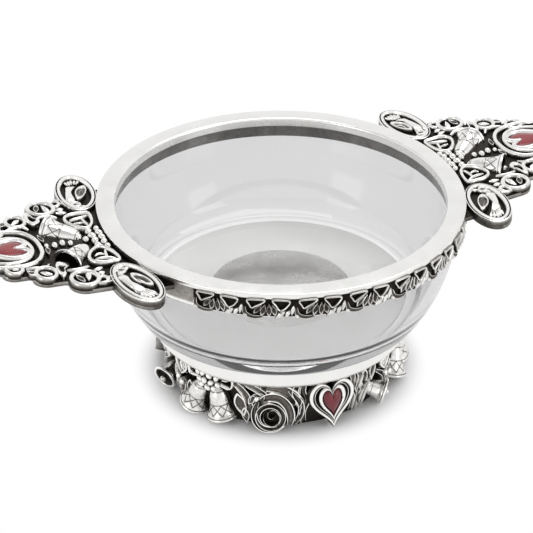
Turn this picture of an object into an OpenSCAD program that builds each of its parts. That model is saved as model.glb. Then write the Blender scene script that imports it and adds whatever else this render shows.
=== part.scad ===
// A two-handled drinking bowl. A thick-based glass bowl is bedded in a polished pewter rim mount
// and stands on a polished hollow drum over a foot ring. Cast wedding ornaments are soldered to the foot
// ring, to the apron below the rim and to the two flat handles.
// The handles lie along X, and the foot stands on the plane z = 0.

/* [Bowl] */
// Outside diameter of the rim mount
rim_d = 125; // [119:1:131]
// Height of the rim's flat face above the table
total_h = 68; // [66:0.5:70]
// Thickness of the glass under the bowl's inside floor
glass_floor = 4.6; // [3.5:0.1:6]

/* [Rim mount] */
// Width of the flat polished face
face_w = 6.5; // [6:0.1:7.5]
// Depth of the apron below the flat face
apron_h = 9; // [8.5:0.1:10]
// Thickness of the plate under the flat face
flange_t = 1.6; // [1.2:0.1:2]
// Depth of the lip inside the glass, below the flat face
lip_h = 3; // [2.4:0.1:4]

/* [Handles] */
// Length of a handle from the rim's edge to its tip
handle_l = 49.5; // [46:0.5:54]
// Thickness of a handle at its raised borders
handle_t = 3; // [2.6:0.1:3.6]
// Rise of a handle towards its tip, in degrees
handle_tilt = 4.5; // [3:0.5:6]
// Length of the enamel heart on each handle
handle_heart_l = 13.6; // [12:0.2:15]
// Length of each bell on the handles
handle_bell_l = 13.4; // [12:0.2:14]

/* [Foot] */
// Height of the foot ring
foot_h = 18.8; // [18.2:0.1:20]
// Outside diameter of the foot ring, behind its ornaments
foot_d = 77; // [74:0.5:79]
// Diameter of each rose on the foot
rose_d = 13.5; // [12:0.5:14.5]
// Length of each bell on the foot
foot_bell_l = 11.6; // [10.5:0.1:12]
// Length of each enamel heart on the foot
foot_heart_l = 10.4; // [9:0.2:11]

/* [Hidden] */
$fn = 64;
function numbered(name, count) = [for (i = [1:count]) str(name, "_", i)];

// Colours
polished = [0.86, 0.85, 0.82];
pewter = [0.56, 0.55, 0.53];
clear_glass = [0.86, 0.9, 0.92, 0.4];
enamel = [0.55, 0.05, 0.1];
resin = [0.8, 0.8, 0.77];

// Facets round a wide cylinder, and the depth that a cut or an ornament runs past a face
wide_fn = 180;
past = 3;

// Rim mount, from the outside inwards
rim_r = rim_d / 2;
flange_over = 1;
apron_t = 1;
lip_t = 0.7;
fit_gap = 0.1;
edge_chamfer = 0.3;
apron_r = rim_r - flange_over;
apron_in = apron_r - apron_t;
face_in = rim_r - face_w;
apron_z = total_h - apron_h;
flange_z = total_h - flange_t;

// Bedding of resin in the rim mount and under the glass
seal_t = 0.5;
bond_t = 0.4;
bond_edge = 0.6;

// Hollow drum between the foot ring and the glass
drum_t = 1.4;
drum_h = 9.2;
drum_over = 7.1;
drum_r = foot_d / 2 + drum_over;
drum_turn = 3.6;
boss_r = 24.5;

// Glass: two arcs about one centre, each with a rounded corner at the foot of the bowl
glass_out = apron_in - fit_gap;
glass_in = face_in + lip_t + fit_gap;
glass_top = flange_z - seal_t;
glass_base = foot_h + drum_h + bond_t;
arc_offset = 1.6;
arc_drop = 5.5;
arc_z = total_h - arc_drop;
outer_corner = 2.5;
inner_corner = 9;

// Hearts: the tip's reach, the length and the width in the units of the heart formula
heart_tip = 17;
heart_span = 29;
heart_units_w = 32;

// Handles: x is measured from the rim's edge, z from the handle's underside
handle_drop = 1.2;
handle_z = total_h - handle_drop - handle_t;
recess_d = 1.4;
recess_z = handle_t - recess_d;
border_w = 1.7;
// Half of the width over which a handle meets the apron, and the oval loop beside the rim
web_y = 33.5;
loop_at = [0.45, 30.8];
loop_half = [12.8, 7];
loop_turn = 9;
loop_end = loop_at - loop_half[0] * [-sin(loop_turn), cos(loop_turn)];
// Each scroll on a handle's edge: its share of the handle's length, its offset and its radius
scrolls = [[0.303, 23.5, 5.2], [0.515, 17, 4.6], [0.697, 11.5, 4]];
frame_size = [27, 24];
frame_tip_gap = 0.3;
handle_heart_w = 9.6;
handle_bezel_w = 2;
handle_heart_size = [handle_heart_l, handle_heart_w];
handle_bezel_size = handle_heart_size + 2 * [handle_bezel_w, handle_bezel_w];
heart_x = handle_l - frame_tip_gap - frame_size[0] * heart_tip / heart_span;
heart_bevel = 1.1;
bell_crown = [6.5, 4.5];
bell_angle = 36;
bell_lean = 3;
bell_sink = 0.6;
handle_bell_r = 4.6;
clapper_r = 1.4;

// Garland
motif_count = 7;
motif_step = 14.9;
garland_turn = 2.2;
garland_half = motif_step * motif_count / 2;
band_t = 0.7;
band_lift = 0.8;
relief_t = 1.7;

// Foot ring and its top bead
foot_r = foot_d / 2;
ring_t = 3.2;
foot_in = foot_r - ring_t;
bead_out = 1.8;
bead_h = 2.4;
bead_slope = 1.5;

// Foot ornaments
foot_gap = 0.05;
rose_flat = 0.2;
rose_z = rose_d / 2 - rose_flat;
rose_turn = 2.4;
rose_tilt = -16;
rose_rise = 2.2;
foot_bell_r = 5.2;
foot_bell_out = 2;
foot_bell_gap = 0.15;
foot_bell_az = asin((foot_bell_r + foot_bell_gap) / (foot_r + foot_bell_out));
foot_bell_z = 1.3;
foot_bell_lean = 9;
bow_half = 9.6;
side_bell_az = -62;
side_bell_r = 4.6;
side_bell_l = 10;
side_bell_out = 6.2;
side_bell_z = 5.4;
leaf_w = 0.2 * foot_r;
leaf_gap = 0.6;
leaf_az = (bow_half + leaf_gap + leaf_w / 2) / foot_r * 180 / PI;
foot_heart_w = 7.2;
foot_bezel_w = 1.3;
plaque_groove = [1.8, 4];
plaque_edge_w = 1.3;
foot_heart_size = [foot_heart_l, foot_heart_w];
foot_bezel_size = foot_heart_size + 2 * [foot_bezel_w, foot_bezel_w];
plaque_in = foot_bezel_size + plaque_groove;
plaque_size = plaque_in + 2 * [plaque_edge_w, plaque_edge_w];
plaque_tilt = -10;
plaque_rise = 3;
plaque_floor = 1;
plaque_lift = 0.2;
plaque_z = plaque_size[0] * heart_tip / heart_span * cos(plaque_tilt) + plaque_lift;

// Room along the wall between a plaque and a rose, and the fold's place and size as shares of it
plaque_half = plaque_size[1] / 2;
fold_room = foot_r * PI * (30 - rose_turn) / 180 - rose_d / 2 - plaque_half;
fold_place = 0.385;
fold_az = (plaque_half + fold_place * fold_room) / foot_r * 180 / PI;

// Points along an arc, both ends included
function arc_pts(c, r, a0, a1, n) =
    [for (i = [0:n]) let (a = a0 + (a1 - a0) * i / n) c + r * [cos(a), sin(a)]];

// Centre of the corner that rounds the bowl arc of radius r into a floor at height z
function corner_at(r, q, z) =
    [sqrt(pow(r - q, 2) - pow(arc_z - z - q, 2)) - arc_offset, z + q];

// Half profile of a bowl with a flat floor, from the axis out and up to its top
function bowl_pts(r, q, z, top) =
    let (
        c = [-arc_offset, arc_z],
        k = corner_at(r, q, z),
        a = atan2(k[1] - c[1], k[0] - c[0])
    )
    concat(
        [[0, z]],
        arc_pts(k, q, -90, a, 8),
        arc_pts(c, r, a, 0, 24),
        [[r - arc_offset, top]]
    );

function reversed(list) = [for (i = [len(list) - 1:-1:0]) list[i]];

function ellipse_pts(half, n = 40) =
    [for (i = [0:n - 1]) [half[0] * cos(360 * i / n), half[1] * sin(360 * i / n)]];

// A heart along X with its tip at +X. size is its length and width.
function heart_pts(size, n = 44) =
    [for (i = [0:n - 1]) let (t = 360 * i / n)
        [
            -(13 * cos(t) - 5 * cos(2 * t) - 2 * cos(3 * t) - cos(4 * t)) * size[0] / heart_span,
            heart_units_w / 2 * pow(sin(t), 3) * size[1] / heart_units_w
        ]
    ];

// A petal from the origin along -Y
function petal_pts(l, w, n = 7) =
    concat(
        [for (i = [0:n]) [-w / 2 * sin(180 * i / n), -l * i / n]],
        [for (i = [n - 1:-1:1]) [w / 2 * sin(180 * i / n), -l * i / n]]
    );

// Places a flat form, drawn in XY and facing +Z, on the outside of a cylinder about the Z axis
module on_wall(az, r, z) {
    rotate([0, 0, az]) translate([r, 0, z]) rotate([90, 0, 90]) children();
}

// Places a form on the right handle
module on_handle() {
    translate([rim_r, 0, handle_z]) rotate([0, -handle_tilt, 0]) children();
}

module on_side(side) {
    rotate([0, 0, side == "left" ? 180 : 0]) children();
}

// A slab between two heights
module slab(z0, z1) {
    translate([0, 0, z0]) linear_extrude(z1 - z0) children();
}

// A form and its mirror image across the handle's middle
module both_sides() {
    for (m = [0, 1]) mirror([0, m, 0]) children();
}

// A raised border between two sizes of heart
module heart_ring(outer, inner) {
    difference() {
        polygon(heart_pts(outer));
        polygon(heart_pts(inner));
    }
}

// A heart of enamel with a stepped crown
module enamel_heart(size, edge_t, crown_t) {
    slab(0, edge_t) polygon(heart_pts(size));
    slab(0, crown_t) polygon(heart_pts(size - [heart_bevel, heart_bevel]));
}

// A bell with its mouth at z = 0 and its crown at z = l, hollow only at its mouth
module bell_form(l, r) {
    lip = 0.9;
    rotate_extrude() polygon([
        [0, l], [0.26 * r, l], [0.3 * r, 0.93 * l], [0.47 * r, 0.85 * l], [0.56 * r, 0.7 * l],
        [0.62 * r, 0.45 * l], [0.74 * r, 0.22 * l], [0.94 * r, 0.08 * l], [r, 0.05 * l], [r, 0],
        [r - lip, 0], [0.86 * r - lip, 0.1 * l], [0, 0.16 * l]
    ]);
}

module glass_bowl() {
    r_out = glass_out + arc_offset;
    r_in = glass_in + arc_offset;
    color(clear_glass) rotate_extrude() polygon(concat(
        bowl_pts(r_out, outer_corner, glass_base, glass_top),
        reversed(bowl_pts(r_in, inner_corner, glass_base + glass_floor, glass_top))
    ));
}

// Flat face with a rounded inner edge, a short lip inside the glass and an apron outside it
module rim_collar() {
    round_r = flange_t / 2;
    color(polished) rotate_extrude() {
        translate([face_in + round_r, flange_z + round_r]) circle(round_r);
        polygon([
            [face_in + round_r, flange_z], [rim_r, flange_z], [rim_r, total_h - edge_chamfer],
            [rim_r - edge_chamfer, total_h], [face_in + round_r, total_h]
        ]);
        translate([face_in, total_h - lip_h]) square([lip_t, lip_h - round_r]);
        translate([apron_in, apron_z]) square([apron_t, apron_h - round_r]);
    }
}

module rim_seal() {
    color(resin) rotate_extrude()
        translate([glass_in, glass_top]) square([glass_out - glass_in, seal_t]);
}

// One palmette of the garland: a fan of petals between two volutes, with a leaf at each side
module palmette() {
    top = apron_h - flange_t - 0.7;
    petal = [top - 0.2, 2.7];
    fan = 28;
    volute_x = 5.6;
    volute_y = top - 1.5;
    volute_r = 2;
    volute_rise = 0.3;
    eye_r = 0.9;
    eye_d = 0.7;
    leaf_at = [6.4, 4];
    leaf = [3.8, 2];
    leaf_lean = 12;
    leaf_drop = 0.4;
    for (i = [-2:2])
        translate([0, top]) rotate(fan * i) slab(-past, relief_t) polygon(petal_pts(petal[0], petal[1]));
    for (side = [-1, 1]) {
        translate([side * volute_x, volute_y]) difference() {
            slab(-past, relief_t + volute_rise) circle(volute_r);
            slab(relief_t + volute_rise - eye_d, relief_t + past) circle(eye_r);
        }
        translate([side * leaf_at[0], leaf_at[1]]) rotate(side * leaf_lean)
            slab(-past, relief_t - leaf_drop) polygon(petal_pts(leaf[0], leaf[1]));
    }
}

// A curved band of palmettes, trimmed to the apron and to the flange above it
module garland() {
    band_z = apron_z + band_lift;
    band_root = band_t / 2;
    color(pewter) difference() {
        union() {
            rotate([0, 0, -garland_half]) rotate_extrude(angle = 2 * garland_half)
                translate([apron_r - band_root, band_z]) square([band_t + band_root, flange_z - band_z]);
            for (i = [0:motif_count - 1])
                on_wall((i - (motif_count - 1) / 2) * motif_step, apron_r, apron_z) palmette();
        }
        translate([0, 0, apron_z - past]) cylinder(r = apron_r, h = apron_h + past, $fn = wide_fn);
        translate([0, 0, flange_z]) cylinder(r = rim_r + past, h = flange_t + past);
    }
}

module garland_front() {
    rotate([0, 0, garland_turn - 90]) garland();
}

module garland_back() {
    rotate([0, 0, garland_turn + 90]) garland();
}

// Places a form in the oval loop beside the rim
module in_loop() {
    translate(loop_at) rotate(loop_turn + 90) children();
}

// The apron's outside at a distance y from the handle's middle, in the handle's x
function rim_x(y) = sqrt(apron_r * apron_r - y * y) - rim_r;

// Outline of a handle, one side: the oval loop, the scrolls along the edge and half of the body
module handle_half() {
    root_x = rim_x(0) - past;
    root_end = [rim_x(web_y) - past, web_y];
    shoulder = [6, 26.5];
    overlap = 0.1;
    waist = [0.81 * handle_l, 10];
    edge_out = 1.8;
    tip_half = 0.4;
    in_loop() polygon(ellipse_pts(loop_half));
    for (s = scrolls) translate([s[0] * handle_l, s[1]]) circle(s[2]);
    polygon(concat(
        [[root_x, -overlap], root_end, shoulder],
        [for (s = scrolls) [s[0] * handle_l, s[1] + edge_out]],
        [waist, [handle_l, tip_half], [handle_l, -overlap]]
    ));
}

// Raised borders of a handle, one side: the loop's oval and a ring round each scroll
module handle_borders() {
    in_loop() difference() {
        polygon(ellipse_pts(loop_half));
        polygon(ellipse_pts(loop_half - [border_w, border_w]));
    }
    for (s = scrolls) translate([s[0] * handle_l, s[1]]) difference() {
        circle(s[2]);
        circle(s[2] - border_w);
    }
}

// A flat casting trimmed to the apron that it is soldered to and kept clear of the rim's edge
module handle(side) {
    color(pewter) on_side(side) difference() {
        on_handle() {
            both_sides() {
                slab(0, recess_z) handle_half();
                slab(0, handle_t) handle_borders();
            }
            slab(0, handle_t) translate([heart_x, 0])
                heart_ring(frame_size, frame_size - 2 * [border_w, border_w]);
        }
        translate([0, 0, handle_z - past]) cylinder(r = apron_r, h = total_h, $fn = wide_fn);
        translate([0, 0, flange_z - fit_gap]) cylinder(r = rim_r + fit_gap, h = total_h, $fn = wide_fn);
    }
}

// Two ribbon loops and a cluster of beads, soldered on the handle's recess
module handle_bow(side) {
    bead_r = 1.5;
    bead_lift = 1;
    beads = [[2.3, 0], [2.3, 3.3], [2.3, -3.3], [4.4, 1.4], [4.4, -1.4]];
    knot = [1.2, 6.2];
    knot_in = [3.4, 3.6];
    knot_t = 1;
    tuck = [0, 1.4];
    ribbon_rise = 0.6;
    loop_gap = 1.2;
    bow_y = loop_end[1] - loop_gap;
    color(pewter) on_side(side) on_handle() {
        both_sides() slab(recess_z, handle_t + ribbon_rise) difference() {
            polygon([knot - tuck, [0.8, bow_y], [7.2, bow_y - 4]]);
            polygon([[2.4, 9.4], [2.2, bow_y - 2.5], [5.4, bow_y - 4.5]]);
        }
        intersection() {
            for (b = beads) translate([b[0], b[1], recess_z + bead_lift]) sphere(bead_r);
            translate([0, -handle_l / 2, recess_z]) cube([handle_l, handle_l, total_h]);
        }
        slab(recess_z, recess_z + knot_t) polygon([
            [knot[0], -knot[1]], [knot_in[0], -knot_in[1]], knot_in, knot
        ]);
    }
}

// Pieces 1 and 2 are on the right handle, 3 and 4 on the left one
function side_of(i) = i > 2 ? "left" : "right";
function mirror_of(i) = i % 2 == 0 ? 1 : 0;

// A bell that lies half sunk in the handle's recess, with its crown near the rim
module handle_bell(i) {
    mouth = bell_crown + handle_bell_l * [cos(bell_angle), sin(bell_angle)];
    stem_r = 0.7;
    stem_l = 0.9 * handle_bell_l;
    color(pewter) on_side(side_of(i)) on_handle() mirror([0, mirror_of(i), 0]) intersection() {
        translate([mouth[0], mouth[1], recess_z - bell_sink]) rotate([0, 0, bell_angle]) {
            rotate([0, bell_lean - 90, 0]) bell_form(handle_bell_l, handle_bell_r);
            rotate([0, -90, 0]) cylinder(r = stem_r, h = stem_l);
            translate([0, 0, clapper_r - bell_sink]) sphere(clapper_r);
        }
        translate([0, -handle_l / 2, recess_z]) cube([handle_l, handle_l, total_h]);
    }
}

// A dove in the oval loop, with its head towards the handle's middle
module dove(i) {
    body_half = [5.4, 2.2];
    head_at = [-6, -0.6];
    head_r = 1.8;
    beak = [[-7.3, 0], [-9.2, -0.7], [-7.3, -1.3]];
    tail = [[4, 1.5], [8.8, 3.2], [9.6, 0], [8.8, -2.8], [4, -1.4]];
    wing_half = [4.4, 2];
    wing_at = [0.4, 1.7];
    wing_turn = 20;
    color(pewter) on_side(side_of(i)) on_handle() mirror([0, mirror_of(i), 0])
        translate([0, 0, recess_z]) in_loop() {
            slab(0, 1.3) polygon(ellipse_pts(body_half, 24));
            slab(0, 1.5) translate(head_at) circle(head_r);
            slab(0, 1.2) polygon(beak);
            slab(0, 1) polygon(tail);
            slab(0, 1.9) translate(wing_at) rotate(wing_turn) polygon(ellipse_pts(wing_half, 24));
        }
}

module handle_bezel(side) {
    bezel_t = 1.9;
    color(polished) on_side(side) on_handle() translate([heart_x, 0, recess_z])
        slab(0, bezel_t) heart_ring(handle_bezel_size, handle_heart_size);
}

module handle_heart(side) {
    color(enamel) on_side(side) on_handle() translate([heart_x, 0, recess_z])
        enamel_heart(handle_heart_size, 1.3, 1.7);
}

// A closed top with a low boss under the glass, a plain wall and a turned-in edge on the foot ring
module foot_drum() {
    top = foot_h + drum_h;
    turn_at = [drum_r - drum_turn, foot_h + drum_turn];
    color(polished) rotate_extrude() polygon(concat(
        [[foot_in, foot_h + drum_t], [foot_in, foot_h]],
        arc_pts(turn_at, drum_turn, -90, 0, 8),
        [[drum_r, top - edge_chamfer], [drum_r - edge_chamfer, top], [boss_r, top]],
        [[boss_r, glass_base], [0, glass_base], [0, top - drum_t], [drum_r - drum_t, top - drum_t]],
        arc_pts(turn_at, drum_turn - drum_t, 0, -90, 8)
    ));
}

module foot_bond() {
    color(resin) rotate_extrude()
        translate([boss_r, foot_h + drum_h]) square([drum_r - bond_edge - boss_r, bond_t]);
}

// Outside of the foot ring: a straight wall under a top bead
function foot_wall() = [
    [foot_r, 0], [foot_r, foot_h - bead_h - bead_slope], [foot_r + bead_out, foot_h - bead_h],
    [foot_r + bead_out, foot_h]
];

module foot_ring() {
    color(pewter) rotate_extrude() polygon(concat([[foot_in, 0]], foot_wall(), [[foot_in, foot_h]]));
}

// Trims an ornament to the foot ring's outside, to the table and to the drum
module trimmed_to_foot() {
    big = foot_d;
    difference() {
        children();
        rotate_extrude($fn = wide_fn) polygon(concat([[0, 0]], foot_wall(), [[0, foot_h]]));
        translate([0, 0, -big]) cylinder(r = big, h = big);
        translate([0, 0, foot_h]) cylinder(r = big, h = big);
    }
}

// Five open petals round two rolled cups and a bud. The radii are shares of the rose's diameter.
module rose_form(d) {
    petal_t = 1.8;
    base_t = 2.4;
    outer_cup = [0.31, 0.24, 4.2];
    inner_cup = [0.18, 0.11, 5.2];
    bud = [0.06, 5.4];
    cup_d = 2;
    back = rose_rise + 2 * past;
    for (i = [0:4])
        rotate(72 * i + 18) translate([0.29 * d, 0]) slab(-back, petal_t) circle(0.21 * d);
    slab(-back, base_t) circle(0.36 * d);
    translate([0.02 * d, 0]) difference() {
        slab(0, outer_cup[2]) circle(outer_cup[0] * d);
        slab(outer_cup[2] - cup_d, outer_cup[2] + past) circle(outer_cup[1] * d);
    }
    translate([-0.01 * d, 0.02 * d]) difference() {
        slab(0, inner_cup[2]) circle(inner_cup[0] * d);
        slab(inner_cup[2] - cup_d, inner_cup[2] + past) circle(inner_cup[1] * d);
    }
    slab(0, bud[1]) circle(bud[0] * d);
}

module foot_rose(i) {
    color(pewter) trimmed_to_foot() on_wall(120 * (i - 1) + rose_turn, foot_r, rose_z)
        rotate([rose_tilt, 0, 0]) translate([0, 0, rose_rise]) rose_form(rose_d);
}

// Pairs of pieces stand at a third of a turn from each other
function pair_of(i) = floor((i - 1) / 2);

// Bells 1 and 2 make the first pair, 3 and 4 the next, 5 and 6 the last
module foot_bell(i) {
    side = i % 2 == 0 ? 1 : -1;
    stem_r = 0.8;
    stem_l = 0.9 * foot_bell_l;
    knob_r = 1.6;
    knob_z = 0.4;
    color(pewter) trimmed_to_foot() rotate([0, 0, 90 + 120 * pair_of(i) + side * foot_bell_az])
        translate([foot_r + foot_bell_out, 0, foot_bell_z]) rotate([side * foot_bell_lean, 0, 0]) {
            bell_form(foot_bell_l, foot_bell_r);
            cylinder(r = stem_r, h = stem_l);
            translate([0, 0, knob_z]) sphere(knob_r);
        }
}

// A bell that stands out of the wall, with its mouth outwards
module foot_side_bell(i) {
    stem_r = 0.7;
    knob_r = 1.3;
    color(pewter) trimmed_to_foot() on_wall(side_bell_az + 120 * (i - 1), foot_r, side_bell_z)
        translate([0, 0, side_bell_out]) mirror([0, 0, 1]) {
            bell_form(side_bell_l, side_bell_r);
            cylinder(r = stem_r, h = side_bell_out);
            translate([0, 0, knob_r]) sphere(knob_r);
        }
}

// A broad leaf between a side bell and the bow beside it
module foot_leaf(i) {
    low = side_bell_z + side_bell_r - 0.8;
    high = foot_h - foot_gap;
    leaf_t = 2.4;
    rib_w = 1.2;
    rib_rise = 0.5;
    color(pewter) trimmed_to_foot() on_wall(120 * (i - 1) - 30 - leaf_az, foot_r, high) {
        slab(-past, leaf_t) polygon(petal_pts(high - low, leaf_w));
        slab(-past, leaf_t + rib_rise) polygon(petal_pts(high - low, rib_w));
    }
}

// Two ribbon loops and a cluster of beads above a pair of bells
module foot_bow(i) {
    low = foot_bell_z + foot_bell_l + foot_gap;
    high = foot_h - foot_gap;
    mid = (low + high) / 2;
    ribbon_t = 3.2;
    ribbon_w = 1.4;
    end_x = [bow_half - 0.6, bow_half];
    hole_x = [4, bow_half - 2];
    bead_r = 1.35;
    color(pewter) trimmed_to_foot() on_wall(90 + 120 * (i - 1), foot_r, 0) {
        for (m = [0, 1]) mirror([m, 0, 0]) slab(-past, ribbon_t) difference() {
            polygon([[0, mid - ribbon_w], [0, mid + ribbon_w], [end_x[1], high], [end_x[0], low]]);
            polygon([[hole_x[0], mid], [hole_x[1], high - ribbon_w], [hole_x[1], low + ribbon_w]]);
        }
        for (x = [-1.5:1:1.5]) translate([1.5 * bead_r * x, mid + bead_r / 3, ribbon_t]) sphere(bead_r);
        translate([0, mid - 2 * bead_r / 3, ribbon_t + bead_r / 3]) sphere(bead_r);
    }
}

// Places a form on a leaning plaque, drawn with the heart's tip at +X, which points down here
module on_plaque(i) {
    on_wall(30 + 120 * (i - 1), foot_r, plaque_z) rotate([plaque_tilt, 0, 0])
        translate([0, 0, plaque_rise]) rotate(-90) children();
}

// A heart-shaped plaque with a raised edge and a raised bezel round the enamel
module foot_plaque(i) {
    edge_t = 2.1;
    bezel_t = 2.5;
    back = plaque_rise + 2 * past;
    color(pewter) trimmed_to_foot() on_plaque(i) {
        slab(-back, plaque_floor) polygon(heart_pts(plaque_size));
        slab(0, edge_t) heart_ring(plaque_size, plaque_in);
        slab(0, bezel_t) heart_ring(foot_bezel_size, foot_heart_size);
    }
}

module foot_heart(i) {
    color(enamel) on_plaque(i) translate([0, 0, plaque_floor]) enamel_heart(foot_heart_size, 0.9, 1.3);
}

// One slanting run of a ribbon between two heights. x0 and x1 are its lower and upper middles.
module ribbon_run(x0, z0, x1, z1, w, t) {
    slab(-past, t) polygon([[x0 - w / 2, z0], [x0 + w / 2, z0], [x1 + w / 2, z1], [x1 - w / 2, z1]]);
}

// A ribbon folded into three slanting runs, on each side of a plaque
module foot_fold(i) {
    low = 0.6;
    high = foot_h - foot_gap;
    mid = (low + high) / 2;
    run_w = 0.44 * fold_room;
    // Each run: its lower and upper middles as shares of the room, its heights and its rise
    runs = [
        [-0.1, -0.15, low + 2, high, 2.2],
        [0.27, 0.29, mid, high, 2.9],
        [0.06, 0.52, low, mid + 3, 1.7]
    ];
    color(pewter) trimmed_to_foot() rotate([0, 0, 30 + 120 * pair_of(i)]) mirror([0, i % 2 == 0 ? 1 : 0, 0])
        on_wall(fold_az, foot_r, 0) {
            for (r = runs) ribbon_run(r[0] * fold_room, r[2], r[1] * fold_room, r[3], run_w, r[4]);
        }
}

glass_bowl();
rim_collar();
rim_seal();
garland_front();
garland_back();
for (s = ["right", "left"]) {
    handle(s);
    handle_bow(s);
    handle_bezel(s);
    handle_heart(s);
}
for (i = [1:4]) {
    handle_bell(i);
    dove(i);
}
foot_drum();
foot_bond();
foot_ring();
for (i = [1:6]) {
    foot_bell(i);
    foot_fold(i);
}
for (i = [1:3]) {
    foot_rose(i);
    foot_side_bell(i);
    foot_leaf(i);
    foot_bow(i);
    foot_plaque(i);
    foot_heart(i);
}
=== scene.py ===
import math

import bmesh
import bpy
import numpy as np
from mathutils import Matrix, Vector


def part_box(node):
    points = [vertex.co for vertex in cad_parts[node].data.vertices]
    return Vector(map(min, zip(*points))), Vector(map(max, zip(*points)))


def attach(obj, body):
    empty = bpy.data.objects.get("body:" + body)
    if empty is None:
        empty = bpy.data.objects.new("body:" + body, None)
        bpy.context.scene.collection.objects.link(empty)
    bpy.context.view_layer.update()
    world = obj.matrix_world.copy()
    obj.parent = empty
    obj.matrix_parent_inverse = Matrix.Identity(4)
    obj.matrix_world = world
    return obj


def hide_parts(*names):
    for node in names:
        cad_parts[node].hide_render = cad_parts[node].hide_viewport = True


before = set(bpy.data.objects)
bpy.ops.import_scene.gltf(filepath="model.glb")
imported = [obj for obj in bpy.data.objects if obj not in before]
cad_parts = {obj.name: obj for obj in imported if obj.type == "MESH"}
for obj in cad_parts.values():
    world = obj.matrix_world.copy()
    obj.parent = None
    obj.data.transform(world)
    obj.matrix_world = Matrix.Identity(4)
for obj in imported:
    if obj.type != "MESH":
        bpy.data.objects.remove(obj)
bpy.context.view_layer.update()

# Sizes in millimetres. The driving ones come from the frame.
MM = 0.001


def node_box(name):
    """Lowest and highest corner of a node in millimetres."""
    low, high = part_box(name)
    return np.array(low) / MM, np.array(high) / MM


RIM_R = node_box("rim_collar")[1][0]
TOTAL_H = node_box("rim_collar")[1][2]
APRON_Z = node_box("rim_collar")[0][2]
FOOT_H = node_box("foot_ring")[1][2]
DRUM_R = node_box("foot_drum")[1][0]
BOND_R = node_box("foot_bond")[1][0]
GLASS_BASE, GLASS_TOP = (corner[2] for corner in node_box("glass_bowl"))
GLASS_OUT = node_box("glass_bowl")[1][0]

# Meshes
AXIS_R = 0.05  # where a closed profile ends beside the axis
SIDES = 256  # steps round the large turned pieces
PLAIN = 0.5  # mark of pieces whose material reads no marks
NO_FLOOR = -99.0  # turned work that is round all over
SHARP = math.radians(38)
ENGRAVED = 0.14
ENGRAVED_MARK = 0.75

# Rim mount
FACE_W = 6.5
FACE_IN = RIM_R - FACE_W
FLANGE_T = 1.6
FLANGE_Z = TOTAL_H - FLANGE_T
APRON_STEP = 1
APRON_T = 1
APRON_R = RIM_R - APRON_STEP
APRON_IN = APRON_R - APRON_T
LIP_T = 0.7
LIP_H = 3

# Glass. Its walls are arcs whose middle lies past the axis and below the rim.
LIP_FIT = 0.1
GLASS_IN = FACE_IN + LIP_T + LIP_FIT
FLOOR_T = 4.6
GLASS_FLOOR = GLASS_BASE + FLOOR_T
ARC_OFFSET = 1.6
ARC_DROP = 5.5
ARC_Z = TOTAL_H - ARC_DROP
CORNER_OUT = 2.5
CORNER_IN = 9
WALL_SHADE_W = 6  # the walls' grey, painted shade, begins above the bedding's edge and is full this much further out

# Drum and bedding. The bedding stays a hair off the glass, the drum and its boss.
DRUM_H = 9.2
DRUM_TOP = FOOT_H + DRUM_H
DRUM_T = 1.4
DRUM_TURN = 3.6
BOSS_R = 24.5
BED_GAP = 0.04
BED_LIFT = 0.01
BED_SIDE = 0.02

# Handles: x from the rim's edge, y across, z from the handle's underside
TILT = math.radians(4.5)
HANDLE_L = 49.5
HANDLE_DROP = 4.2
HANDLE_Z = TOTAL_H - HANDLE_DROP
PLATE_END = 43.47
RECESS_Z = 1.6
WEB_Y = 33.5
LOOP_AT = np.array([0.45, 30.8])
LOOP_HALF = np.array([12.8, 7])
LOOP_TURN = math.radians(9)
SCROLLS = [(15, 23.5, 5.2), (25.5, 17, 4.6), (34.5, 11.5, 4)]
EDGE = [(6, 26.5), (15, 25.3), (25.5, 18.8), (34.5, 13.3), (40.1, 10), (HANDLE_L, 0.4), (HANDLE_L, 0)]
HEART_X = 33.4
HANDLE_HEART = np.array([13.6, 9.6])
BEZEL_W = 2
HANDLE_BEZEL = HANDLE_HEART + 2 * BEZEL_W
BELL_CROWN = np.array([7.5, 3.1])
BELL_ANGLE = math.radians(41)
BELL_L = 13
BELL_R = 5.5
BELL_SINK = 0.6
BELL_BACK = 0.15

# Foot: x along the wall, y up, z out of the wall. The ornaments repeat three times.
THIRD = 120
FOOT_R = 38.5
FOOT_T = 3.2
FOOT_IN = FOOT_R - FOOT_T
BEAD_OUT = 1.8
BOW_AZ = 90
PLAQUE_AZ = 30
ROSE_R = 6.75
ROSE_Y = 6.55
ROSE_AZ = 2.4
ROSE_TILT = math.radians(-16)
ROSE_RISE = 2.2
FOOT_BELL_L = 11.6
FOOT_BELL_R = 5.6
FOOT_BELL_OUT = 2
FOOT_BELL_Y = 2.05
FOOT_BELL_AZ = 7.6
FOOT_BELL_LEAN = 11
LEFT_AZ = 1.3  # the left bell of a pair stands further off and leans more
LEFT_LEAN = 1.9
FOOT_BELL_BACK = 1.2
SIDE_BELL_AZ = -62
SIDE_BELL_L = 10
SIDE_BELL_R = 4.6
SIDE_BELL_WAY = (0.46, -0.25, 0.85)
SIDE_BELL_MOUTH = (2, 5, 5.8)
LEAF_AZ = -50.9
LEAF_W = 7.7
LEAF_TIP = 9.3
FOLD_AZ = 14.3
FOOT_HEART = np.array([10.4, 7.2])
FOOT_BEZEL_W = 1.3
FOOT_BEZEL = FOOT_HEART + 2 * FOOT_BEZEL_W
PLAQUE_FIELD = np.array([1.8, 4])
PLAQUE_IN = FOOT_BEZEL + PLAQUE_FIELD
PLAQUE_EDGE = 1.3
PLAQUE = PLAQUE_IN + 2 * PLAQUE_EDGE
PLAQUE_TILT = math.radians(-10)
PLAQUE_RISE = 3
PLAQUE_Y = 10.25

# Garland
MOTIFS = 7
MOTIF_STEP = 14.9
GARLAND_TURN = 2.2
BAND_T = 0.7
BAND_LIFT = 0.02
BAND_LOW = 0.8
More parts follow.
